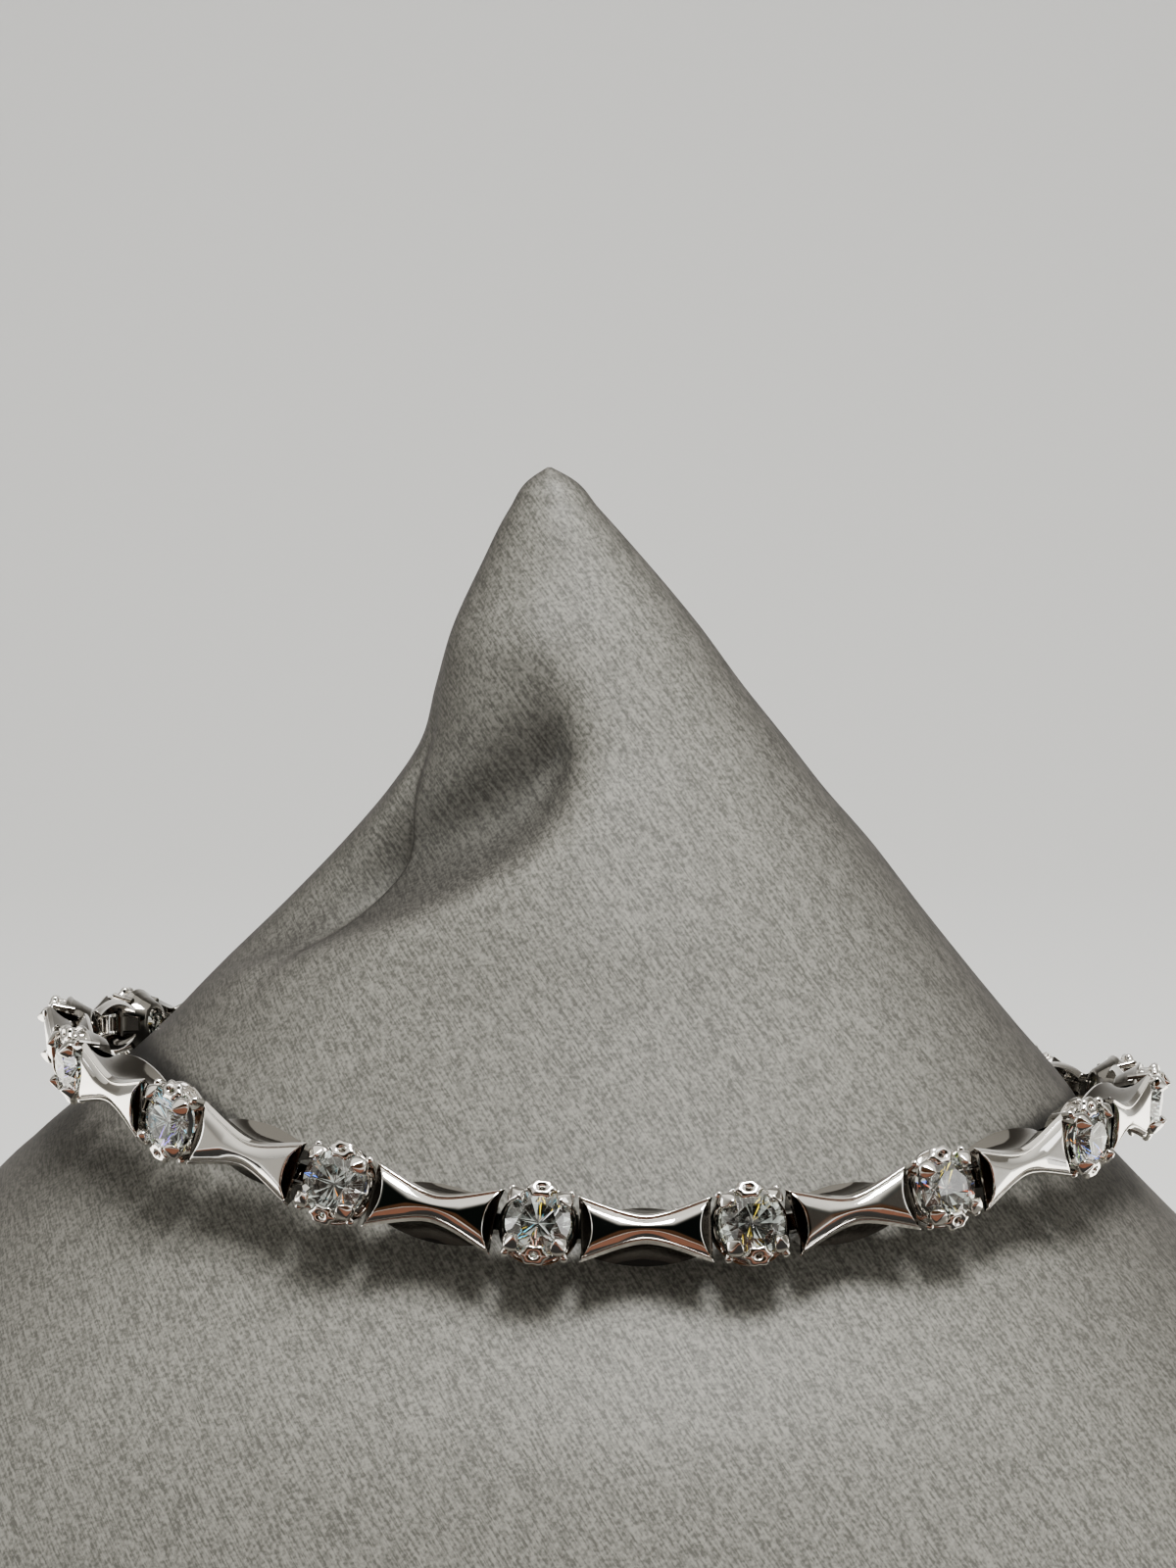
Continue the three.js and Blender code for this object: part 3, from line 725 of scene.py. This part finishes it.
def bone_outline(share):
    """Outline of a link's section at a share of its half length: domed face, bevel, scooped side, rounded
    back rail and hollow inside. Heights swell from the waist to the horns as a power of the share."""
    front = WAIST_HALF_HEIGHT + (HORN_HALF_HEIGHT - WAIST_HALF_HEIGHT) * share**HORN_POWER
    back = RAIL_HALF_HEIGHT - (RAIL_HALF_HEIGHT - RAIL_END_HALF_HEIGHT) * share**RAIL_POWER
    face_level = LINK_FRONT - FACE_SET_BACK

    def side(level):
        s = np.clip((LINK_FRONT - BEVEL - level) / (LINK_FRONT + LINK_BACK - 2 * BEVEL), 0, 1)
        return front + (back - front) * s - SCOOP * 4 * s * (1 - s)

    pillow = front - BEVEL_WIDTH - LIP_WIDTH
    height = pillow * np.linspace(0.05, 1, FACE_STEPS)
    rounding = np.maximum(0, 1 - (pillow - height) / min(FACE_ROUND, pillow))
    face = columns(height, face_level - FACE_DOME * (rounding**2 - 1))
    arc = np.linspace(0.9 * np.pi, 0, LIP_STEPS)
    lip = columns(pillow + LIP_WIDTH * (0.5 + 0.5 * np.cos(arc)), face_level + LIP_HEIGHT * np.sin(arc))
    drop = np.linspace(0, 1, BEVEL_STEPS + 1)[1:]
    bevel = columns(front - BEVEL_WIDTH * (1 - drop), face_level - (BEVEL - FACE_SET_BACK) * drop)
    level = np.linspace(LINK_FRONT - BEVEL, -LINK_BACK + BEVEL, FLANK_STEPS + 1)[1:]
    flank = columns(side(level), level)
    turn = np.linspace(0, np.pi / 2, RAIL_STEPS + 1)[1:]
    rail = columns(back - LINK_WALL * (1 - np.cos(turn)), -LINK_BACK + BEVEL * (1 - np.sin(turn)))
    inward = np.linspace(0, np.pi / 2, HOLLOW_STEPS + 2)[1:-1]
    level = -LINK_BACK + (LINK_FRONT - FRONT_WALL + LINK_BACK) * np.sin(inward) ** (1 / 3)
    hollow = columns((side(level) - LINK_WALL) * np.cos(inward) ** (1 / 3), level)
    return np.concatenate([face, lip, bevel, flank, rail, hollow])


def link_shell(outline_at):
    """A link from its section outlines: both halves mirrored, stations spread along the crescent-ended
    length, each end rounded by rings that shrink along the outline's normal, and the two pins."""
    turn = np.linspace(0, np.pi / 2, 5)[1:]
    insets = END_ROUND * (1 - np.cos(turn))
    reaches = END_ROUND * np.sin(turn)
    stations = [(1.0, inset, reach) for inset, reach in zip(insets[::-1], reaches[::-1])]
    stations += [(share, 0.0, 0.0) for share in np.linspace(1, -1, STATIONS)]
    stations += [(-1.0, inset, reach) for inset, reach in zip(insets, reaches)]
    rings = []
    for share, inset, reach in stations:
        half = outline_at(abs(share))
        ring = np.concatenate([half, half[::-1] * [-1, 1]])
        tangent = np.roll(ring, -1, axis=0) - np.roll(ring, 1, axis=0)
        normal = columns(tangent[:, 1], -tangent[:, 0]) / np.linalg.norm(tangent, axis=1, keepdims=True)
        ring = ring + normal * inset
        length = (link_end(ring[:, 0]) - END_ROUND) * share + math.copysign(reach, share)
        rings.append(np.column_stack([length, ring]))
    across = np.linspace(-PIN_HALF_LENGTH, PIN_HALF_LENGTH, 4)
    pins = [
        drawn_wire(columns(side * PIN_X, across, -PIN_DEPTH), ALONG, PIN_RADIUS, PIN_RADIUS, 20)
        for side in (1, -1)
    ]
    return joined(closed_skin(np.array(rings)), *pins)


def link_painted_shade(faces):
    """How far painted shade darkens each face of a bone link. Its place in the shell gives
    its step round the outline, counted on each half from the middle of the link's face. The scooped sides,
    the lower rail, the inner slope of the lower lip and the pins get painted shade, and the ends a little
    less."""
    half_steps = FACE_STEPS + LIP_STEPS + BEVEL_STEPS + FLANK_STEPS + RAIL_STEPS + HOLLOW_STEPS
    steps = np.arange(len(faces)) % (2 * half_steps)
    lower = steps >= half_steps - 1
    steps = np.where(lower, 2 * half_steps - 2 - steps, steps)
    flank_start = FACE_STEPS + LIP_STEPS + BEVEL_STEPS - 1
    scooped = (steps >= flank_start) & (steps < flank_start + FLANK_STEPS + lower * RAIL_STEPS)
    under_lip = lower & (steps >= FACE_STEPS - 1) & (steps < FACE_STEPS + LIP_STEPS // 2)
    ends = np.array([len(face) > 4 for face in faces])
    painted_recess_shade = np.where(ends, END_PAINTED_SHADE, SIDE_PAINTED_SHADE * (scooped | under_lip))
    first_pin_face = np.flatnonzero(ends)[1] + 1
    painted_recess_shade[first_pin_face:] = SIDE_PAINTED_SHADE
    return painted_recess_shade


bone = link_shell(bone_outline)
# Painted shade amounts for every face of a link.
bone_painted_shade = link_painted_shade(bone[1])
link_places, link_axes = route_frames(np.arange(UNIT_COUNT) + 0.5)
for unit in range(UNIT_COUNT - 1):
    shell = placed(bone, link_places[unit], link_axes[unit])
    number = f"{unit + 1:02d}"
    piece(f"bone_bar_{number}", f"bone_link_{number}", shell, polished_gold, LINK_CRISP_ANGLE,
          bone_painted_shade)


# Clasp
# A plain polished white gold box at the back of the neck, in the place of the seventeenth bar. It turns
# on the same two pins, soldered across its ends.

CLASP_HALF_HEIGHT = 1.45
CLASP_SLOT_HALF_HEIGHT = EYE_HALF_THICKNESS + 2 * HINGE_GAP


def box_outline(share):
    """Outline of the clasp's section, the same at every share of its length: a plain box with bevelled
    edges and a straight slot in its back."""
    half, slot = CLASP_HALF_HEIGHT, CLASP_SLOT_HALF_HEIGHT
    face = columns((half - BEVEL) * np.linspace(0.08, 1, 10), LINK_FRONT)
    corners = np.array([
        [half, LINK_FRONT - BEVEL], [half, 0.3], [half, -0.3], [half, -LINK_BACK + BEVEL],
        [half - BEVEL, -LINK_BACK], [slot, -LINK_BACK], [slot, -0.5], [slot, LINK_FRONT - FRONT_WALL],
    ])
    return np.concatenate([face, corners])


clasp_shell = placed(link_shell(box_outline), link_places[-1], link_axes[-1])
piece("box_clasp", "clasp", clasp_shell, polished_gold, LINK_CRISP_ANGLE)


# Floor, light and camera
# A plain pale sweep under soft studio light, low cards and a plain room that only the metal and the stones
# mirror, and the camera at the photograph's place.

AIM = (0.0, 0.0, 0.034)
SWEEP_START, SWEEP_RADIUS, SWEEP_TOP, SWEEP_REACH = 0.35, 0.5, 1.6, 6.0
CARD_LEVEL = 0.001
CAMERA_DISTANCE = 0.2026
CAMERA_ELEVATION = math.radians(10.63)
PHOTO_WIDTH, PHOTO_HEIGHT = 1200, 1600
FOCAL_PIXELS = 3600
AIM_PIXEL = (615, 1096)


def stage_piece(name, points, faces, material):
    """A plain piece of the studio, in metres."""
    mesh = bpy.data.meshes.new(name)
    mesh.from_pydata(points, [], faces)
    mesh.materials.append(material)
    obj = bpy.data.objects.new(name, mesh)
    bpy.context.scene.collection.objects.link(obj)
    return obj


def sweep():
    """Floor that runs level to the back and bends up there along a quarter circle, between two edges."""
    bend = np.linspace(0, np.pi / 2, 33)
    back = SWEEP_START + SWEEP_RADIUS
    y = np.concatenate([[-SWEEP_REACH], SWEEP_START + SWEEP_RADIUS * np.sin(bend), [back]])
    z = np.concatenate([[0], SWEEP_RADIUS * (1 - np.cos(bend)), [SWEEP_TOP]])
    points = np.concatenate([columns(-SWEEP_REACH, y, z), columns(SWEEP_REACH, y, z)])
    row = np.arange(len(y) - 1)
    return points, columns(row, row + len(y), row + len(y) + 1, row + 1).tolist()


def softbox(name, place, target, size, power):
    """A rectangular soft light at a place, turned to face a target, in metres and watts."""
    lamp = bpy.data.lights.new(name, "AREA")
    lamp.shape = "RECTANGLE"
    lamp.size, lamp.size_y = size
    lamp.energy = power
    obj = bpy.data.objects.new(name, lamp)
    obj.location = place
    x, y, z = np.subtract(place, target)
    obj.rotation_euler = (math.atan2(math.hypot(x, y), z), 0, math.atan2(x, -y))
    bpy.context.scene.collection.objects.link(obj)


def low_card(name, left, right, near, far, color, glow=0.0):
    """A card lying beside the bust on the floor, from near to far in depth. It is seen only in what the metal
    and the stones mirror, as a painted reflection, and a glowing one shines only in those reflections."""
    material, _, surface = new_material(name)
    set_inputs(surface, {"Base Color": (*color, 1), "Roughness": 0.9})
    set_inputs(surface, {"Emission Color": (*color, 1), "Emission Strength": glow})
    corners = [(left, near), (right, near), (right, far), (left, far)]
    card = stage_piece(name, [(*corner, CARD_LEVEL) for corner in corners], [[0, 1, 2, 3]], material)
    card.visible_camera = False
    card.visible_diffuse = False
    card.visible_shadow = False


def room_world():
    """The room: pale at the back and overhead, dark in front, with a warm band low in front. Two ramps run
    from below to overhead, and the direction's depth mixes the front one into the back one."""
    world = bpy.data.worlds.new("studio")
    world.use_nodes = True
    nodes, links = world.node_tree.nodes, world.node_tree.links
    direction = nodes.new("ShaderNodeTexCoord")
    split = nodes.new("ShaderNodeSeparateXYZ")
    front_band = set_stops(nodes.new("ShaderNodeValToRGB"), [
        (0.42, (0.05, 0.03, 0.02)), (0.50, (0.20, 0.10, 0.055)), (0.64, (0.24, 0.13, 0.075)),
        (0.70, (0.016, 0.022, 0.018)), (0.92, (0.010, 0.014, 0.012)), (0.97, (0.9, 0.9, 0.88)),
    ])
    back_band = set_stops(nodes.new("ShaderNodeValToRGB"), [
        (0.42, (0.30, 0.28, 0.25)), (0.50, (1.30, 1.26, 1.16)), (0.66, (0.95, 0.94, 0.88)),
        (0.93, (2.3, 2.25, 2.1)),
    ])
    lift = set_inputs(nodes.new("ShaderNodeMapRange"), {"From Min": -1.0})
    frontness = set_inputs(nodes.new("ShaderNodeMapRange"), {"From Min": -0.35, "From Max": -0.75})
    frontness.interpolation_type = "SMOOTHSTEP"
    room = color_mix(nodes)
    background = set_inputs(nodes["Background"], {"Strength": 0.36})
    links.new(direction.outputs["Generated"], split.inputs["Vector"])
    links.new(split.outputs["Z"], lift.inputs["Value"])
    links.new(split.outputs["Y"], frontness.inputs["Value"])
    links.new(lift.outputs["Result"], front_band.inputs["Fac"])
    links.new(lift.outputs["Result"], back_band.inputs["Fac"])
    links.new(frontness.outputs["Result"], room.inputs["Factor"])
    links.new(back_band.outputs["Color"], room.inputs[COLOR_A])
    links.new(front_band.outputs["Color"], room.inputs[COLOR_B])
    links.new(room.outputs[COLOR_RESULT], background.inputs["Color"])
    return world


floor_material, _, floor_surface = new_material("pale_floor")
set_inputs(floor_surface, {"Base Color": (0.62, 0.62, 0.61, 1), "Roughness": 0.7, "Specular IOR Level": 0.0})
floor = stage_piece("floor", *sweep(), floor_material)
floor.data.shade_smooth()

softbox("overhead_light", (0.08, -0.12, 0.53), AIM, (0.20, 0.13), 3.8)
softbox("right_light", (0.5, -0.22, 0.26), AIM, (0.22, 0.3), 0.32)
softbox("left_light", (-0.55, -0.10, 0.12), AIM, (0.16, 0.24), 0.34)
softbox("backdrop_light", (0.0, 0.35, 0.55), (0.0, 1.2, 0.06), (1.2, 0.2), 2.2)

# Painted shade and reflections: the near-black card is a painted shade that the links' undersides mirror, the
# brown card a painted warm reflection, and the glowing side cards painted bright reflections for the side
# links.
low_card("dark_card", -0.16, 0.16, -0.075, -0.03, (0.010, 0.009, 0.008))
low_card("brown_card", -0.2, 0.2, -0.45, -0.075, (0.115, 0.045, 0.024))
low_card("left_card", -0.6, -0.034, -0.02, 0.4, (1.0, 0.97, 0.90), 1.3)
low_card("right_card", 0.034, 0.6, -0.02, 0.4, (1.0, 0.97, 0.90), 1.0)

bpy.context.scene.world = room_world()
bpy.context.scene.view_settings.look = "AgX - Medium High Contrast"

camera_data = bpy.data.cameras.new("camera")
camera_data.sensor_width = 36
camera_data.lens = FOCAL_PIXELS * camera_data.sensor_width / PHOTO_HEIGHT
camera_data.clip_start = 0.01
camera = bpy.data.objects.new("camera", camera_data)
camera.location = (0, -CAMERA_DISTANCE * math.cos(CAMERA_ELEVATION),
                   AIM[2] + CAMERA_DISTANCE * math.sin(CAMERA_ELEVATION))
pitch_up = math.atan((AIM_PIXEL[1] - PHOTO_HEIGHT / 2) / FOCAL_PIXELS)
turn_left = math.atan((AIM_PIXEL[0] - PHOTO_WIDTH / 2) / FOCAL_PIXELS)
camera.rotation_euler = (math.pi / 2 - CAMERA_ELEVATION + pitch_up, 0, turn_left)
bpy.context.scene.collection.objects.link(camera)
bpy.context.scene.camera = camera
